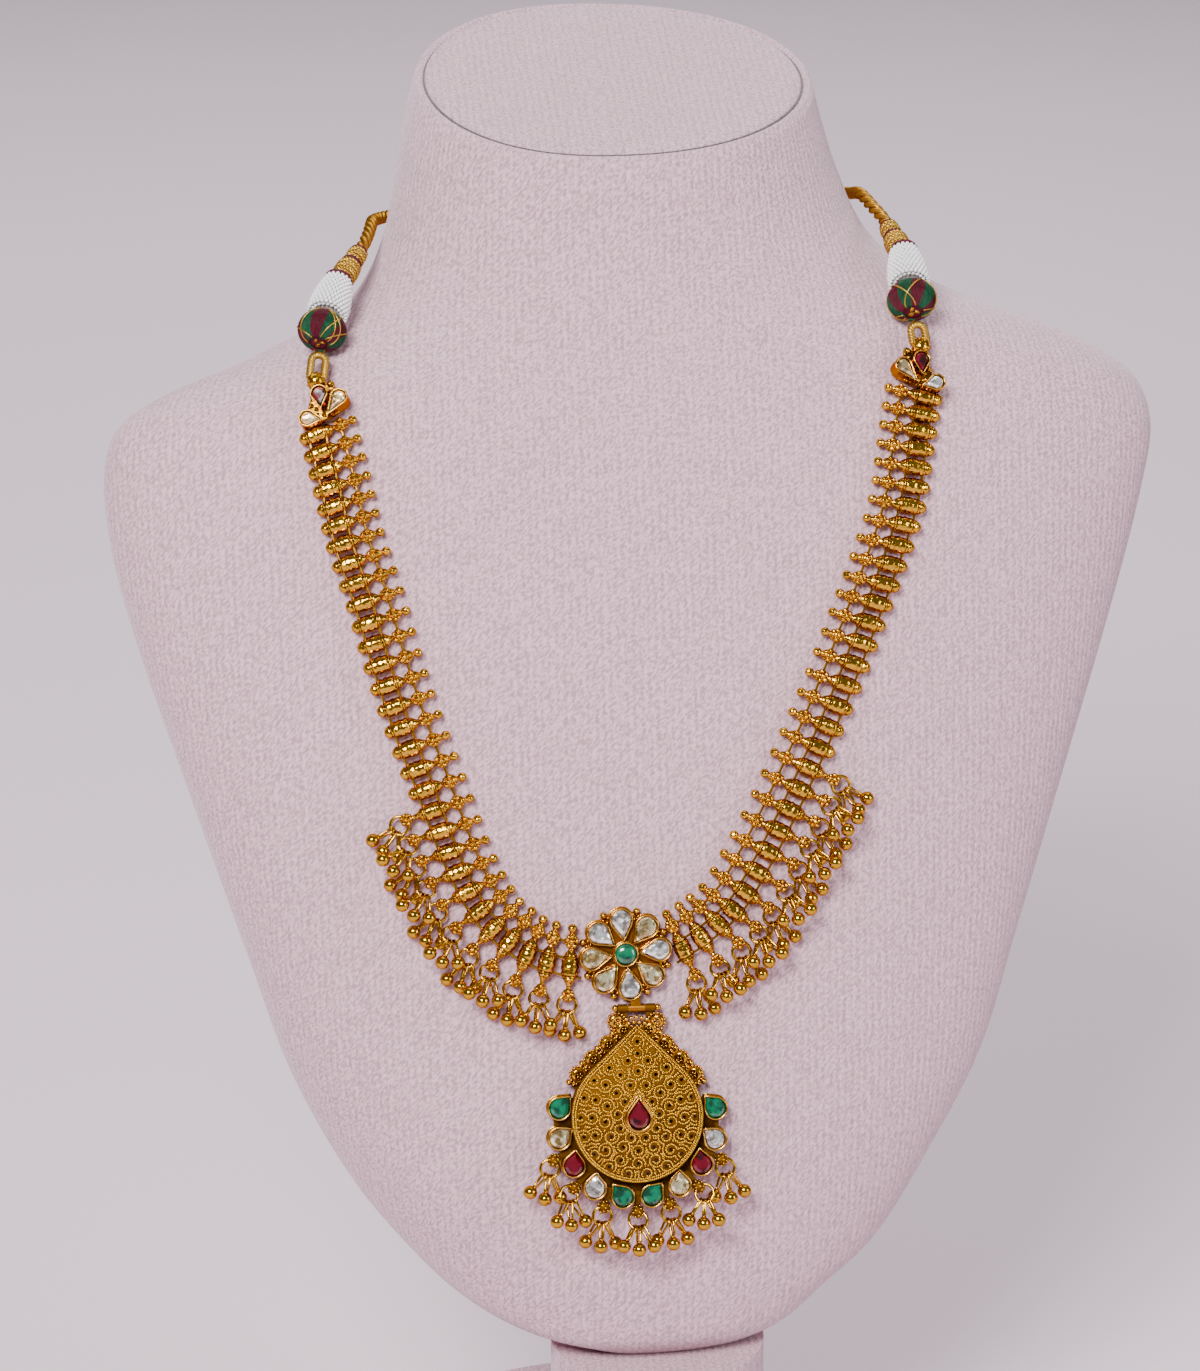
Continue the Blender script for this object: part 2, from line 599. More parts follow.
inner_end = tip() + rosette(ROSETTE_AT, ROSETTE_R)
outer_end = [lathe([(0.5, -3.5), (0.46, -4.4), (0.5, -4.8)], 12)] + rosette(OUTER_ROSETTE_AT, OUTER_ROSETTE_R)
upper_element = fused([spindle(BLUNT)] + inner_end)
lower_element = fused([spindle([(r, -x) for r, x in reversed(SPINDLE[:-1])])] + inner_end + outer_end)
for side, name in SIDES:
    frames = [element_frame(side, i) for i in range(ELEMENTS)]
    repeat("upper_elements_" + name, upper_element, frames[:FIRST_WITH_DROPS], chased_gold, BUST_BODY,
           node="strand_beads_" + name)
    repeat("lower_elements_" + name, lower_element, frames[FIRST_WITH_DROPS:], chased_gold, BUST_BODY)
    for row in ("tip", "inner", "outer"):
        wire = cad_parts["row_wire_%s_%s" % (row, name)]
        wire.data.materials[0] = pale_gold

# Rings with drops
# Each lower element carries an open ring of round wire, and three drops hang on it: a long
# loop of thin wire soldered into a hollow ball. Every second group lies over its neighbours.
RING_R, RING_WIRE_R, LOOP_HALF, LOOP_WIRE_R, LOOP_L, BALL_R = 1.85, 0.3, 0.7, 0.23, 4.2, 1.375
LOOP_TURN = 30  # turned about its own length, so that both of its wires show
LOOP_PLAY, THICKER_RING, THICKER_LOOP = 0.08, 0.03, 0.04
FAN = 29.2
RING_OUT, DROP_OUT = (50, 7.5), (33.5, 6)
LIFT_LOW, LIFT_HIGH = -1, 33
SWING_LOW, SWING_HIGH = (0, 15, 0), (-2, -10, -2)


def open_ring():
    a = np.radians(np.linspace(97, 443, 40))
    path = np.stack([RING_R * np.cos(a), RING_R * np.sin(a), np.zeros(40)], axis=1)
    return tube(path, RING_WIRE_R + THICKER_RING, 10)


def long_loop():
    """The drop's loop. The origin is where the ring's wire passes through it."""
    up = RING_WIRE_R + LOOP_WIRE_R + LOOP_PLAY
    down = LOOP_L - up - 2 * LOOP_WIRE_R
    top = [(0, up - LOOP_HALF + LOOP_HALF * math.sin(a), LOOP_HALF * math.cos(a))
           for a in np.radians(np.linspace(0, 180, 9))]
    bottom = [(0, -down + LOOP_HALF + LOOP_HALF * 0.8 * math.sin(a), LOOP_HALF * 0.7 * math.cos(a))
              for a in np.radians(np.linspace(190, 350, 7))]
    path = moved(top + bottom, turned(1, LOOP_TURN))
    wire = tube(path, LOOP_WIRE_R + THICKER_LOOP, 8, closed=True, up=(1, 0.01, 0.02))
    centre = -down - BALL_R + 0.25
    neck = centre + BALL_R
    collar = lathe([(0.3, neck - 0.12), (0.55, neck - 0.12), (0.5, neck + 0.1), (0.3, neck + 0.14)],
                   12, axis=1)
    return fused([wire, ball((0, centre, 0), BALL_R, 22, 14, axis=1), collar])


def along_drops(i):
    return (i - FIRST_WITH_DROPS) / (ELEMENTS - 1 - FIRST_WITH_DROPS)


def knob_frame(side, i):
    m = element_frame(side, i)
    out = math.radians(RING_OUT[0] + (RING_OUT[1] - RING_OUT[0]) * along_drops(i))
    return frame_at(moved([OUTER_ROSETTE_AT, 0, 0], m), (math.cos(out), side * math.sin(out), 0), m[:3, 2])


def hung(m, lift):
    return m @ turned(0, -lift) @ shifted(0, -RING_R)


def drop_frames(ring, turn, spread, swings):
    return [ring @ turned(2, turn + spread * j) @ shifted(0, -RING_R) @ turned(0, -swings[j + 1])
            for j in (-1, 0, 1)]


RING, DROP = open_ring(), long_loop()


def rings_and_drops(name, rings, drops, body, node):
    repeat("rings_" + name, RING, rings, gold, body)
    repeat("drops_" + name, DROP, drops, gold, body, node=node)


for side, name in SIDES:
    rings, drops = [], []
    for i in range(FIRST_WITH_DROPS, ELEMENTS):
        low = (i - FIRST_WITH_DROPS) % 2 == 0
        t = along_drops(i)
        turn = side * ((DROP_OUT[0] - RING_OUT[0]) * (1 - t) + (DROP_OUT[1] - RING_OUT[1]) * t)
        ring = hung(knob_frame(side, i), LIFT_LOW if low else LIFT_HIGH)
        rings.append(ring)
        drops += drop_frames(ring, turn, FAN, SWING_LOW if low else SWING_HIGH)
    rings_and_drops(name, rings, drops, BUST_BODY, "strand_drops_" + name)

# Flower
# The middle piece: eight pear stones and a round emerald, each closed in by its own bezel on a
# gold plate, with granules at the rim. The middle knuckle of the hinge is soldered under it.
FLOWER_X, FLOWER_Y, FLOWER_RISE = -1.9, -53.5, 0.4
PETAL_RING_R, PETAL_TIP_R, PETAL_W, PETAL_TURN, CENTRE_D = 6.9, 2.9, 4.1, 96, 4.2
STONE_FLOOR, STONE_GAP, SETTING_H, BEZEL = 0.9, 0.07, 2.4, 0.38
GIRDLE_H = SETTING_H - STONE_FLOOR - 0.35
flower_frame = chest_frame(FLOWER_X, FLOWER_Y, FLOWER_RISE, 0)
petals = [flower_frame @ turned(2, PETAL_TURN - 45 * i) @ shifted(PETAL_RING_R, 0) @ turned(2, 90)
          for i in range(8)]


def foil_finish(name, light, deep, shine, strength, facet=700.0, coat=1.0):
    """A kundan stone: flat-backed, closed in over bright crinkled foil, polished on top."""
    material = new_finish(name, light, metallic=shine, roughness=0.22, Coat_Weight=coat, Coat_Roughness=0.04,
                          Coat_IOR=1.7)
    places = surface_places(material)
    clouds = add(material, "ShaderNodeTexNoise", places, Scale=facet, Detail=2.0)
    tone = ramp(material, clouds, [(0.4, deep)] + shades(light, (0.52, 1), (0.62, 1.1)))
    join(material, tone, shader_of(material)["Base Color"])
    relief(material, add(material, "ShaderNodeTexVoronoi", places, Scale=facet), strength, 0.0003)
    return material


clear_stone = foil_finish("clear kundan", (0.98, 0.98, 0.99), (0.38, 0.35, 0.33), 0.85, 0.8)
champagne_stone = foil_finish("champagne kundan", (0.95, 0.84, 0.52), (0.36, 0.24, 0.07), 0.85, 0.8)
smoky_stone = foil_finish("smoky kundan", (0.62, 0.47, 0.24), (0.20, 0.13, 0.05), 0.8, 0.6)
emerald = foil_finish("emerald", (0.0, 0.14, 0.065), (0.0, 0.04, 0.022), 0.1, 0.25, facet=500.0, coat=0.6)
ruby = foil_finish("ruby", (0.11, 0.0, 0.008), (0.02, 0.0, 0.003), 0.1, 0.25, facet=500.0, coat=0.4)


def pear_outline(r, tip, count=26):
    """A round end of radius r about the origin, drawn out to a point at y = tip."""
    a = math.degrees(math.acos(r / tip))
    b = np.radians(np.linspace(90 + a, 450 - a, count))
    arc = np.stack([r * np.cos(b), r * np.sin(b)], axis=1)
    point = np.array([0, tip])
    there = [point] + [arc[0] * t + point * (1 - t) for t in (0.35, 0.7)]
    back_again = [arc[-1] * t + point * (1 - t) for t in (0.7, 0.35)]
    return np.array(there + list(arc) + back_again)


def cut_stone(outline, girdle, crown):
    """Upright girdle, two rows of facets and a table."""
    rings = []
    for shrink, z, turn in ((0.98, 0, 0), (1, 0.1, 0), (1, girdle, 0), (0.88, girdle + crown * 0.45, 1),
                            (0.6, girdle + crown, 0)):
        flat = outline * shrink
        if turn:
            flat = (flat + np.roll(flat, -1, axis=0)) / 2
        rings.append(np.column_stack([flat, np.full(len(outline), z)]))
    return skinned(rings)


def place_stone(name, shape, m, material, slot, body, node, rise=STONE_FLOOR + STONE_GAP, shade_smooth=False):
    repeat(name, shape, [m @ shifted(0, 0, rise)], material, body, node, shade_smooth)


petal_tip = PETAL_RING_R - PETAL_TIP_R
petal_shape = cut_stone(pear_outline(PETAL_W / 2, petal_tip - 0.15), GIRDLE_H, 0.75)
PETAL_FINISH = [clear_stone, champagne_stone] * 3 + [champagne_stone, clear_stone]
for i, (m, finish) in enumerate(zip(petals, PETAL_FINISH), 1):
    place_stone("petal_%d" % i, petal_shape, m, finish, "clear_stone", BUST_BODY, "petal_stone_%d" % i)
CENTRE_R = CENTRE_D / 2
cabochon = lathe([(CENTRE_R, 0), (CENTRE_R, 1.5), (CENTRE_R * 0.93, 1.8), (CENTRE_R * 0.75, 2.08),
                  (CENTRE_R * 0.45, 2.24), (CENTRE_R * 0.15, 2.3)], 32, axis=2)
place_stone("flower_emerald", cabochon, flower_frame, emerald, "emerald", BUST_BODY, "centre_stone",
            shade_smooth=True)


def rim(r, tip, z, wire=0.2):
    """The rubbed-over edge of a pear bezel, as a closed wire."""
    outline = pear_outline(r, tip, 30)
    return tube(np.column_stack([outline, np.full(len(outline), z)]), wire, closed=True)


def circle(r, z, step=15):
    return [(r * math.cos(a), r * math.sin(a), z) for a in np.radians(np.arange(0, 360, step))]


def hoop(r, z, wire):
    return tube(circle(r, z), wire, closed=True)


rim_gold = gold_finish("rubbed bezel gold", (0.76, 0.48, 0.10), (0.3, 0.12, 0.015), roughness=0.2, bump=0.08)
petal_rims = [rim(PETAL_W / 2 + BEZEL * 0.5, petal_tip + 0.2, SETTING_H, 0.15),
              rim(PETAL_W / 2 + BEZEL + 0.05, petal_tip + 0.35, 0.8, 0.17)]
repeat("petal_bezels", fused(petal_rims), petals, rim_gold, BUST_BODY)
centre_rims = [hoop(CENTRE_R + 0.22, SETTING_H + 0.3, 0.2), hoop(CENTRE_R + 0.45, 1.6, 0.16)]
repeat("centre_bezel", fused(centre_rims), [flower_frame], rim_gold, BUST_BODY)
# Granules between the petals, in a small pile at the rim
pile = fused([ball((8.75, 0, 0.9), 0.74, 14, 10), ball((7.9, 0.55, 0.95), 0.42, 10, 6),
              ball((7.9, -0.55, 0.95), 0.42, 10, 6), ball((7.2, 0, 0.9), 0.4, 10, 6)])
between = [flower_frame @ turned(2, PETAL_TURN + 22.5 - 45 * i) for i in range(8)]
repeat("flower_granules", pile, between, gold, BUST_BODY)
red_gold = gold_finish("red gold plate", (0.52, 0.26, 0.025), (0.24, 0.085, 0.006), roughness=0.36)
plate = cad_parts["flower_mount"]
plate.data.materials[0] = red_gold

# Hinge pin
# A gold bar with a ball at each end runs through three knuckles: the middle one under the
# flower and two on the pendant, which swings on it.
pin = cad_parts["hinge_pin"]
pin.data.materials[0] = gold

# Pendant
# A convex pierced teardrop covered in scrolls of twisted wire, soldered to a plate with a
# scalloped border, ten bezels and seven granulated knobs. A ruby stands in a cup on top.
PENDANT_BODY = "pendant"
HINGE_ASIDE, HINGE_DROP, HINGE_RISE = 1.9, 10.8, 1.9
DOME_Y, PENDANT_BACK, PENDANT_TURN = -21.5, -1.35, -1.4
DOME_R, DOME_TIP, DOME_H, DOME_BALL_R, PLATE_H = 13.2, 18.4, 6.0, 40.0, 1.0
hinge_frame = frame_at(moved([HINGE_ASIDE, -HINGE_DROP, HINGE_RISE - FLOWER_RISE], flower_frame), (1, 0, 0),
                       flower_frame[:3, 2])
pendant_frame = hinge_frame @ turned(2, PENDANT_TURN) @ shifted(0, DOME_Y, PENDANT_BACK)
HOLE_RINGS = [(4.2, 9), (6.6, 13), (9.2, 16), (11.4, 18)]


def skin(x, y):
    return DOME_H - DOME_BALL_R + math.sqrt(DOME_BALL_R**2 - x * x - y * y)


SIDE_OUT = np.array([math.sqrt(1 - (DOME_R / DOME_TIP) ** 2), DOME_R / DOME_TIP])


def inside_teardrop(x, y, margin):
    """True where a point lies inside the teardrop's outline, less a margin."""
    if y > DOME_R * SIDE_OUT[1]:
        return abs(x) * SIDE_OUT[0] + y * SIDE_OUT[1] < DOME_R - margin
    return math.hypot(x, y) < DOME_R - margin


def inside_cup(x, y):
    """True under the ruby's pear-shaped cup."""
    return math.hypot(x, y) < 2.95 or (0 < y < 5.1 and abs(x) < 0.62 * (5.1 - y))


# A bead of the beaded wire lies slanted on the skin, so that a row of them looks twisted
BEAD_STEP, BEAD_SLANT, RUBY_R, RUBY_TIP = 0.43, 0.7, 2.2, 3.8
SPIRAL_PITCH, SPIRAL_START, SPIRAL_END, SPIRAL_TURN, PLAIN_EDGE = 0.7, 0.6, 2.3, 2.4, 1.15
beads = []


def bead_at(x, y, heading, lift=0.08):
    slope = math.hypot(x, y) / DOME_BALL_R
    out = np.array([x / DOME_BALL_R, y / DOME_BALL_R, math.sqrt(1 - slope * slope)])
    along = (math.cos(heading + BEAD_SLANT), math.sin(heading + BEAD_SLANT), 0)
    beads.append(pendant_frame @ frame_at((x, y, skin(x, y) + lift), along, out))


def bead_row(r, tip, count):
    """Beads along the outline of a pear shape, and back to its point."""
    path = pear_outline(r, tip, count)
    path = np.concatenate([path, path[:1]])
    lengths = np.concatenate([[0], np.cumsum(np.linalg.norm(np.diff(path, axis=0), axis=1))])
    along = np.arange(0, lengths[-1], BEAD_STEP)
    x, y = (np.interp(along, lengths, path[:, c]) for c in (0, 1))
    for place in zip(x, y, np.arctan2(np.gradient(y), np.gradient(x))):
        bead_at(*place, lift=0.12)


holes = [(0, 14.9), (0, 12.6)]
for ring_number, (radius, count) in enumerate(HOLE_RINGS):
    for k in range(count):
        a = math.radians(90 + 360 * (k + (ring_number % 2) * 0.5) / count)
        holes.append((radius * math.cos(a), radius * math.sin(a)))
# Scroll centres without a hole, where the tip is wide
holes = np.array(holes + [(-3, 12.9), (3, 12.9), (-5.9, 11.4), (5.9, 11.4)])
for number, (cx, cy) in enumerate(holes):
    hand = 1 if number % 2 else -1
    turn, r = 0.0, SPIRAL_START
    while r < SPIRAL_END:
        a = SPIRAL_TURN * number + hand * turn
        x, y = cx + r * math.cos(a), cy + r * math.sin(a)
        nearest = int(np.argmin(np.hypot(holes[:, 0] - x, holes[:, 1] - y)))
        if nearest == number and inside_teardrop(x, y, PLAIN_EDGE) and not inside_cup(x, y):
            bead_at(x, y, a + hand * math.pi / 2)
        turn += BEAD_STEP / r
        r = SPIRAL_START + SPIRAL_PITCH * turn / (2 * math.pi)
for inset in (0.3, 0.8):
    bead_row(DOME_R - inset, DOME_TIP - inset * 1.4, 120)
for grow in (0.55, 1.0):
    bead_row(RUBY_R + grow, RUBY_TIP + 0.5 + grow * 1.3, 60)
bead = lathe([(0.13, -0.33), (0.25, 0), (0.13, 0.33)], 6)
filigree_gold = gold_finish("filigree gold", (0.68, 0.45, 0.055), (0.18, 0.07, 0.004), roughness=0.15,
                            bump=0.05)
repeat("pendant_scrolls", bead, beads, filigree_gold, PENDANT_BODY)
body_gold = gold_finish("shaded gold", (0.28, 0.13, 0.009), (0.095, 0.038, 0.002), roughness=0.6)
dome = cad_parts["pendant_frame"]
dome.data.materials[0] = body_gold

# Pendant border
# Crescents of sheet gold inside rims of granules are soldered to the plate's edge, up both
# sides of the pendant to its point.
SCALLOPS, BORDER_START, BORDER_L = 4, 0.6, 17.0
RIM_R, RIM_ARC, CRESCENT_R, CRESCENT_ARC, GRAINS_R = 1.75, 112, 0.98, 125, 0.45


def border_place(side, t):
    """A place on the border, and the outward direction there."""
    a = math.acos(DOME_R / DOME_TIP)
    run, r, s = DOME_TIP * math.sin(a), DOME_R + 0.9, BORDER_START + BORDER_L * t
    turn = math.pi / 2 - a - max(0, s - run) / r
    n = np.array([math.cos(turn), math.sin(turn)])
    p = r * n + max(0, run - s) * np.array([-n[1], n[0]])
    return np.array([side * p[0], p[1]]), np.array([side * n[0], n[1]])


def ring_of_granules(x, y, z, r, angles, size):
    return [granule((x + r * math.cos(a), y + r * math.sin(a), z), size) for a in angles]


def crescent(p, n):
    """A crescent of sheet gold that opens inward, with a row of granules round it."""
    facing = math.atan2(n[1], n[0])
    rim_angles = facing + np.radians(np.linspace(-RIM_ARC, RIM_ARC, 11))
    shapes = ring_of_granules(*p, PLATE_H + 0.15, RIM_R, rim_angles, 0.36)
    arc = facing + np.radians(np.linspace(-CRESCENT_ARC, CRESCENT_ARC, 20))
    width = 0.5 * np.sin(np.linspace(0.15, math.pi - 0.15, 20)) + 0.08
    shapes.append(tube([(p[0] + CRESCENT_R * math.cos(a), p[1] + CRESCENT_R * math.sin(a), PLATE_H + 0.35)
                        for a in arc], width, 8))
    grain_angles = facing + np.radians((-150, -75, 0, 75, 150))
    return shapes + ring_of_granules(*(p - n * 0.2), PLATE_H + 0.35, GRAINS_R, grain_angles, 0.25)


border = []
for side, _ in SIDES:
    for i in range(SCALLOPS):
        border += crescent(*border_place(side, (i + 0.5) / SCALLOPS))
        p, n = border_place(side, (i + 1) / SCALLOPS)
        for away, size in ((1.0, 0.62), (-0.1, 0.42)):
            border.append(ball((*(p + n * away), PLATE_H + 0.2), size))
# Two more crescents and a few grains close the top, over the knuckles' feet
for side, _ in SIDES:
    border += crescent(np.array([side * 4.0, 18.7]), np.array([side * 0.8, 0.6]))
border.append(ball((0, 19.6, PLATE_H + 0.4), 0.5))
for x, y in ((1.05, 19.45), (2.1, 19.2), (0.55, 18.6), (1.6, 18.4)):
    border += [ball((side * x, y, PLATE_H + 0.4), 0.5) for side, _ in SIDES]
border_gold = gold_finish("border gold", (0.72, 0.46, 0.05), (0.27, 0.11, 0.007))
repeat("pendant_border", fused(border), [pendant_frame], border_gold, PENDANT_BODY)

# Edge stones and ruby
# Ten pear stones stand round the lower edge, each closed in by its own bezel of thin gold, and a
# ruby in a cup crowns the dome.
# Columns: x and y from the dome's middle, the way the point looks, the stone
EDGE = [(-15.5, 1.6, 48, "emerald"), (-15.5, -4.4, 38, "champagne"), (-12.6, -9.9, 84, "ruby"),
        (-8.4, -14.4, 84, "clear"), (-2.8, -16.2, 128, "emerald"), (3, -16, 52, "emerald"),
        (8.6, -14, 92, "champagne"), (13, -9.8, 98, "ruby"), (15.7, -4.8, 142, "clear"),
        (15.8, 1.4, 132, "emerald")]
EDGE_W, EDGE_TIP = 4.0, 2.9
STONE = {"emerald": (emerald, "emerald"), "ruby": (ruby, "ruby"), "clear": (clear_stone, "clear_stone"),
         "champagne": (champagne_stone, "clear_stone")}
edge_shape = cut_stone(pear_outline(EDGE_W / 2, EDGE_TIP - 0.1), GIRDLE_H, 0.7)
edges = [pendant_frame @ shifted(x, y) @ turned(2, a - 90) for x, y, a, _ in EDGE]
for i, (m, row) in enumerate(zip(edges, EDGE), 1):
    place_stone("edge_gem_%d" % i, edge_shape, m, *STONE[row[3]], PENDANT_BODY, "edge_stone_%d" % i)
edge_rims = [rim(EDGE_W / 2 + BEZEL * 0.6, EDGE_TIP + BEZEL, SETTING_H, 0.22),
             rim(EDGE_W / 2 + BEZEL, EDGE_TIP + BEZEL * 1.6, 0.25)]
repeat("edge_bezels", fused(edge_rims), edges, rim_gold, PENDANT_BODY)
place_stone("middle_ruby", cut_stone(pear_outline(RUBY_R, RUBY_TIP), 1.3, 1.0), pendant_frame, ruby, "ruby",
            PENDANT_BODY, "pendant_ruby", rise=DOME_H - 0.5 + STONE_GAP)
ruby_rims = [rim(RUBY_R + BEZEL * 0.6, RUBY_TIP + 0.45, DOME_H + 1.3, 0.24),
             rim(RUBY_R + BEZEL + 0.15, RUBY_TIP + 0.9, DOME_H + 0.15, 0.24)]
repeat("ruby_bezel", fused(ruby_rims), [pendant_frame], rim_gold, PENDANT_BODY)

# Pendant drops
# Seven granulated knobs at the lower edge carry a ring with three drops each. Every second ring
# is lifted over its neighbours.
# Columns: x, y, outward swing of the ring, swing of its drops, 1 where the ring is lifted
KNOBS = [(-16.6, -8.8, -24.5, -10, 0), (-12.5, -14.4, -42.5, 1, 1), (-6.6, -18.2, -9, -3.5, 0),
         (0.2, -19.2, 0, 0, 1), (6.6, -17.8, 9, 3.5, 0), (12.4, -14.4, 42.5, -1, 1), (17, -9, 24.5, 10, 0)]
KNOB_LIFTS, KNOB_SWINGS, KNOB_FAN = (-0.5, 25.5), ((-4, 13, -4), (0, -1.5, 0)), 29.6
KNOB_R, KNOB_Z = 1.25, 1.5
rings, drops, knobs = [], [], []
for x, y, swing, drop_swing, lifted in KNOBS:
    knobs.append(pendant_frame @ shifted(x, y, KNOB_Z) @ turned(2, swing))
    rings.append(hung(knobs[-1], KNOB_LIFTS[lifted]))
    drops += drop_frames(rings[-1], drop_swing - swing, KNOB_FAN, KNOB_SWINGS[lifted])
rings_and_drops("pendant", rings, drops, PENDANT_BODY, "pendant_drops")


def granulated(r, count, size, ring_bead=False):
    """Granules set evenly over a ball. A ring bead has none where its hole runs through."""
    shapes = []
    for k in range(count):
        z = 1 - 2 * (k + 0.5) / count
        a = k * math.pi * (3 - math.sqrt(5))
        wide = math.sqrt(1 - z * z)
        if not ring_bead or abs(math.sin(a) * wide) > 0.25 or z > 0.2:
            shapes.append(granule((r * wide * math.cos(a), r * wide * math.sin(a), r * z), size))
    return fused(shapes)


repeat("pendant_knobs", granulated(KNOB_R, 26, 0.3), knobs, gold, PENDANT_BODY)

# End clusters
# Where a strand ends, a block with two clear stones and a ruby closes it. A granulated ring bead
# on top takes the loop of gold thread.
# Columns: x and y from the block's middle, the way the point looks, the stone, length to the point
END = [(-0.5, 2.5, -85, "ruby", 2.8), (3.5, 1.4, -124, "clear_inner", 3.8),
       (-3, -2.6, -8, "clear_outer", 2.7)]
END_R, END_BLOCK_H, END_RISE = 1.4, 1.4, 1.5
END_AT = {-1: (-58.5, 56.4, 0), 1: (60.9, 60.9, 5)}
BEAD_AT, BEAD_R = (-1.3, 5.6, 1.7), 1.8
# Corners of the block, which carries a row of granules along its edge
END_BLOCK = [(-3.4, -2.2), (0, -2.4), (3, -1), (3.4, 1), (2, 5), (-1.6, 5)]
END_GRAINS = ((1.3, 1.2), (0.9, -0.2), (0.1, -1.5), (-1.4, -0.2), (-1.3, -1.4), (1.6, 3.4), (-2.4, 0.6))
# Finishes on the left and on the right: one clear stone shines more than the others
END_FINISH = {"ruby": (ruby, ruby), "clear_inner": (smoky_stone, smoky_stone),
              "clear_outer": (smoky_stone, clear_stone)}


def end_frame(side):
    x, y, degrees = END_AT[side]
    return chest_frame(x, y, END_RISE, degrees)


for side, name in SIDES:
    m = end_frame(side)
    for x, y, a, stone, tip_l in END:
        at = m @ shifted(-side * x, y, END_BLOCK_H) @ turned(2, (a if side < 0 else 180 - a) - 90)
        shape = cut_stone(pear_outline(END_R, tip_l), GIRDLE_H, 0.6)
        slot = "ruby" if stone == "ruby" else "clear_stone"
        place_stone("end_%s_gem_%s" % (stone, name), shape, at, END_FINISH[stone][side > 0], slot, BUST_BODY,
                    "end_%s_%s" % (stone, name))
        bezel = rim(END_R + BEZEL * 0.6, tip_l + BEZEL * 1.1, SETTING_H, 0.18)
        repeat("end_%s_bezel_%s" % (stone, name), bezel, [at], rim_gold, BUST_BODY)
    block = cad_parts["end_plate_" + name]
    block.data.materials[0] = gold
    corners = np.array(END_BLOCK + END_BLOCK[:1]) * (-side, 1)
    grains = [granule((*(p + (q - p) * t), END_BLOCK_H), 0.36) for p, q in zip(corners, corners[1:])
              for t in np.arange(0, 1, 0.7 / np.linalg.norm(q - p))]
    grains += [ball((-side * x, y, END_BLOCK_H + 0.15), 0.52, 10, 6) for x, y in END_GRAINS]
    repeat("end_edge_" + name, fused(grains), [m], gold, BUST_BODY)
    bead_grains = granulated(BEAD_R, 34, 0.33, ring_bead=True)
    bead_frame = m @ shifted(-side * BEAD_AT[0], *BEAD_AT[1:])
    repeat("end_granules_" + name, bead_grains, [bead_frame], gold, BUST_BODY)

# Thread loops
# Four gold threads are laid together and closed into a thick loop, which passes through the ring
# bead and takes the thread ball.
# The way of the cord on each side, from the ring bead up to where it goes round the neck
CORDS = {-1: [(-59.5, 70.5, -9), (-57.8, 76.2, -13.2), (-55.7, 82.2, -17.9), (-50, 91.3, -28),
              (-48.3, 95, -33.5), (-47.4, 97.8, -39)],
         1: [(60.8, 74, -5.6), (60.9, 80, -10.2), (60.9, 85.7, -15), (59.3, 94.5, -27.4), (57.2, 99, -33.4),
             (55.6, 102.3, -39)]}
CORDS = {side: np.array(points, dtype=float) for side, points in CORDS.items()}
BALL_T, LOOP_THREAD_R, LOOP_BEND, LOOP_STRAIGHT = 0.46, 0.74, 1.42, {-1: 3.2, 1: 1.8}


def plies(path, r, ply_r, count, pitch, sides=6, closed=False):
    """Threads laid round each other along a path of close points."""
    path = np.asarray(path, dtype=float)
    steps = np.linalg.norm(np.roll(path, -1, axis=0) - path, axis=1)
    along = np.concatenate([[0], np.cumsum(steps)[:-1]])
    turns = max(1, round(np.sum(steps) / pitch)) / np.sum(steps) if closed else 1 / pitch
    a, b = across_path(path, closed)
    shapes = []
    for k in range(count):
        turn = 2 * np.pi * (along * turns + k / count)
        strand = path + (r - ply_r) * (np.cos(turn)[:, None] * a + np.sin(turn)[:, None] * b)
        shapes.append(tube(strand, ply_r, sides, closed))
    return fused(shapes)


def loop_frame(side):
    """The loop's frame: y from the ring bead's middle to the ball's, z out of the loop."""
    start = moved([-side * BEAD_AT[0], *BEAD_AT[1:]], end_frame(side))
    cord = CORDS[side]
    y = unit(cord[0] + (cord[1] - cord[0]) * BALL_T - start)
    x = unit(np.cross(y, (0, 0, 1)))
    m = np.eye(4)
    m[:3, 0], m[:3, 1], m[:3, 2] = x, y, np.cross(x, y)
    m[:3, 3] = start + y * (LOOP_BEND + LOOP_STRAIGHT[side] / 2)
    return m


def thread_loop(side):
    half = LOOP_STRAIGHT[side] / 2
    bend = [(LOOP_BEND * math.cos(a), LOOP_BEND * math.sin(a)) for a in np.radians(np.linspace(0, 180, 20))]
    straight = np.linspace(half, -half, 14)[1:-1]
    path = [(x, half + y, 0) for x, y in bend] + [(-LOOP_BEND, y, 0) for y in straight]
    path += [(-x, -half - y, 0) for x, y in bend] + [(LOOP_BEND, y, 0) for y in -straight]
    return plies(path, LOOP_THREAD_R + 0.08, 0.38, 4, 2.4, closed=True)


gold_thread = gold_finish("gold thread", (0.62, 0.43, 0.10), (0.20, 0.10, 0.012), roughness=0.35,
                          grain=4000.0, bump=0.5, metallic=0.9)
for side, name in SIDES:
    repeat("thread_loop_" + name, thread_loop(side), [loop_frame(side)], gold_thread, BUST_BODY,
           "cord_loop_" + name)

# Thread balls
# Maroon and green silk is wound from pole to pole over a core, in gores, and gold threads cross
# over it.
THREAD_BALL_R, THREAD_BALL_H, GORES, THREADS, THREAD_R = 5.0, 3.9, 10, 90, 0.15
BALL_TURN = {-1: 30, 1: 200}
# Columns: where a gold thread starts, and how far it goes round, in degrees
CROSSING = ((0, 95), (50, -95), (110, 100), (165, -90), (230, 95), (280, -100), (330, 60), (20, -60))


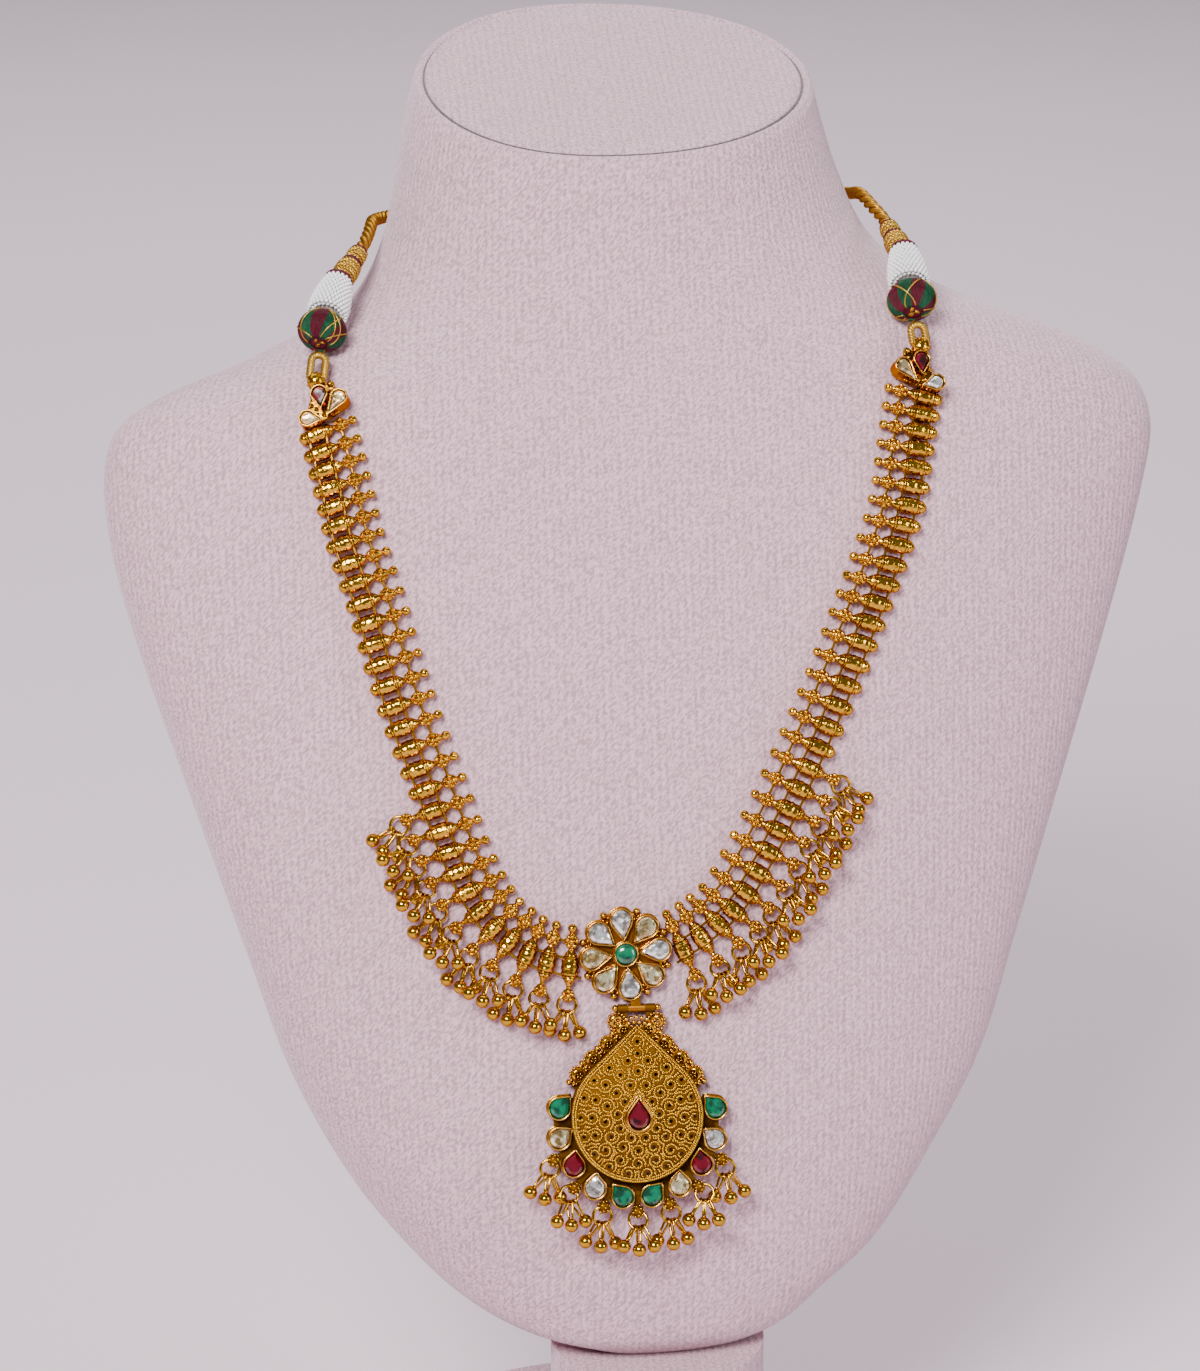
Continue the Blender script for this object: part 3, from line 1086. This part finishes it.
def thread_frame(side, k, t):
    """A place part of the way along one stretch of the cord's route, with z along it."""
    c = CORDS[side]
    return frame_at(c[k] + (c[k + 1] - c[k]) * t, (0, 0, 1), unit(c[k + 1] - c[k]))


def silk_finish(name, colour):
    material = new_finish(name, colour, roughness=0.6, Specular_IOR_Level=0.25)
    places = surface_places(material, (1, 1, 0.15))
    lines = add(material, "ShaderNodeTexNoise", places, Scale=2600.0, Detail=2.0)
    tone = ramp(material, lines, shades(colour, (0.3, 0.45), (0.7, 1.5)))
    join(material, tone, shader_of(material)["Base Color"])
    relief(material, lines, 0.4, 0.0001)
    return material


def ball_arc(start, twist, rise):
    """A thread from pole to pole of the ball, which goes part of the way round it."""
    a = np.radians(np.linspace(-66, 66, 18))
    turn = np.radians(start + twist * np.linspace(0, 1, 18))
    wide = THREAD_BALL_R * np.cos(a) + rise
    path = np.stack([wide * np.cos(turn), wide * np.sin(turn), THREAD_BALL_H * np.sin(a)], axis=1)
    return tube(path, THREAD_R, 6 if rise > 0 else 5)


maroon_silk = silk_finish("maroon silk", (0.07, 0.0, 0.009))
green_silk = silk_finish("green silk", (0.0, 0.055, 0.02))
core = lathe([(1.0, -3.4)] + [((THREAD_BALL_R - 0.22) * math.cos(a), (THREAD_BALL_H - 0.15) * math.sin(a))
                              for a in np.radians(np.linspace(-62, 62, 15))] + [(1.0, 3.4)], 32, axis=2)
silk = [[core], []]
for k in range(THREADS):
    silk[int(k * GORES / THREADS) % 2].append(ball_arc(360 / THREADS * k, 22, -0.12))
crossing = fused([ball_arc(start, twist, 0.08) for start, twist in CROSSING])
for side, name in SIDES:
    at = [thread_frame(side, 0, BALL_T) @ turned(2, BALL_TURN[side])]
    repeat("maroon_silk_" + name, fused(silk[0]), at, maroon_silk, BUST_BODY,
           "thread_ball_" + name)
    repeat("green_silk_" + name, fused(silk[1]), at, green_silk, BUST_BODY)
    repeat("crossing_threads_" + name, crossing, at, gold_thread, BUST_BODY)

# Pearl sleeves
# Rows of white seed pearls are stitched round the cord above each thread ball, with a maroon
# ring of silk above them.
PEARL_R, PEARL_STEP, PEARL_ROWS, SLEEVE_START, SLEEVE_L = 0.42, 0.9, 12, -4.05, 9.05
pearl_finish = new_finish("seed pearl", (0.84, 0.83, 0.83), roughness=0.28, Coat_Weight=0.4, Sheen_Weight=0.2)
white_silk = silk_finish("white silk", (0.45, 0.42, 0.44))
pearl_rows = []
for row in range(-1, PEARL_ROWS):
    # The first ring turns in under the sleeve's end
    z = SLEEVE_START + SLEEVE_L * max(row, 0) / (PEARL_ROWS - 1)
    r = np.interp(z, (-4.2, -2.2, 0.8, 3.6, 5.4), (3.86, 3.96, 3.66, 3.06, 2.56)) - 0.8 * (row < 0)
    count = int(2 * math.pi * r / PEARL_STEP)
    for k in range(count):
        a = 2 * math.pi * (k + (row % 2) * 0.5) / count
        pearl_rows.append(shifted(r * math.cos(a), r * math.sin(a), z))
pearl_shape = ball((0, 0, 0), PEARL_R, 9, 6)
sleeve_core = lathe([(2.2, -3.95), (3.6, -3.9), (3.7, -2.2), (3.4, 0.8), (2.8, 3.6), (2.35, 5.2),
                     (2.2, 5.25)], 32, axis=2)
silk_ring = fused([hoop(2.75, 5.45, 0.28), hoop(2.62, 5.9, 0.28)])
for side, name in SIDES:
    m = thread_frame(side, 1, 0.6)
    repeat("pearls_" + name, pearl_shape, [m @ p for p in pearl_rows], pearl_finish, BUST_BODY,
           "pearl_sleeve_" + name)
    repeat("sleeve_core_" + name, sleeve_core, [m], white_silk, BUST_BODY)
    repeat("silk_ring_" + name, silk_ring, [m], maroon_silk, BUST_BODY)

# Gold bands
# Two-ply gold thread is wound tightly over the cord in two bands, with maroon silk between and
# after them.
# Columns: place along the cord's stretch, radius, length
BANDS = [(0.4, 2.7, 5.0), (0.78, 2.2, 3.6)]
BAND_PITCH, PLY_PAIR_R = 0.82, 0.44


def winding(r, z, mirrored):
    """One turn of two-ply gold thread. Every second turn is laid the other way, as in a braid."""
    points, faces = plies(circle(r, z, 6), PLY_PAIR_R, 0.25, 2, 1.5, closed=True)
    return outward(points * (1, -1, 1) if mirrored else points, faces)


def band(r, length):
    rows = int(length / BAND_PITCH)
    turns = [lathe([(r - 0.75, -length / 2), (r - 0.5, 0), (r - 0.75, length / 2)], 24, axis=2)]
    for k in range(rows):
        z = length * ((k + 0.5) / rows - 0.5)
        turns.append(winding(r - PLY_PAIR_R - 0.22 * (2 * z / length) ** 2, z, k % 2))
    return fused(turns)


for side, name in SIDES:
    wide, narrow = ([thread_frame(side, 2, t)] for t, _, _ in BANDS)
    repeat("gold_winding_wide_" + name, band(*BANDS[0][1:]), wide, gold_thread, BUST_BODY,
           "gold_bands_" + name)
    repeat("gold_winding_narrow_" + name, band(*BANDS[1][1:]), narrow, gold_thread, BUST_BODY)
    ties = fused([hoop(1.95, z, 0.34) for z in (2.75, 3.2)])
    repeat("band_silk_" + name, ties, wide, maroon_silk, BUST_BODY)
    repeat("last_silk_" + name, hoop(1.6, 2.0, 0.34), narrow, maroon_silk, BUST_BODY)

# Neck cord
# A soft cord of gold thread, laid in three, goes from sleeve to sleeve round the back of the
# neck and rests on it.
NECK_X, NECK_HALF, NECK_DEPTH, NECK_RISE, CORD_R = 4.1, 51.5, 41.5, 7.0, 1.38


def neck_back():
    """The way round the back of the neck, from the left side to the right."""
    left, right = CORDS[-1][-1], CORDS[1][-1]
    made = []
    for i in range(1, 16):
        a = math.pi * i / 16
        c = math.cos(a)
        made.append((NECK_X - math.copysign(NECK_HALF * abs(c) ** (2 / SECTION_POWER), c),
                     left[1] + (right[1] - left[1]) * i / 16 + NECK_RISE * math.sin(a),
                     left[2] - NECK_DEPTH * math.sin(a)))
    return made


route = np.concatenate([CORDS[-1], neck_back(), CORDS[1][::-1]])


def softened(points, step):
    """Close points along a smooth curve through the given ones."""
    out = []
    for i in range(len(points) - 1):
        p0, p1, p2, p3 = (points[min(max(j, 0), len(points) - 1)] for j in (i - 1, i, i + 1, i + 2))
        for t in np.linspace(0, 1, max(2, int(np.linalg.norm(p2 - p1) / step)), endpoint=False):
            out.append(0.5 * (2 * p1 + (p2 - p0) * t + (2 * p0 - 5 * p1 + 4 * p2 - p3) * t**2
                              + (3 * p1 - p0 - 3 * p2 + p3) * t**3))
    return np.array(out + [points[-1]])


cord_gold = gold_finish("dark gold cord", (0.55, 0.33, 0.06), (0.16, 0.07, 0.008), roughness=0.3,
                        grain=4000.0, bump=0.6, metallic=0.9)
cord_shape = plies(softened(route, 0.45), CORD_R, 0.66, 3, 7.5, sides=8)
repeat("twisted_neck_cord", cord_shape, [np.eye(4)], cord_gold, BUST_BODY, "neck_cord")
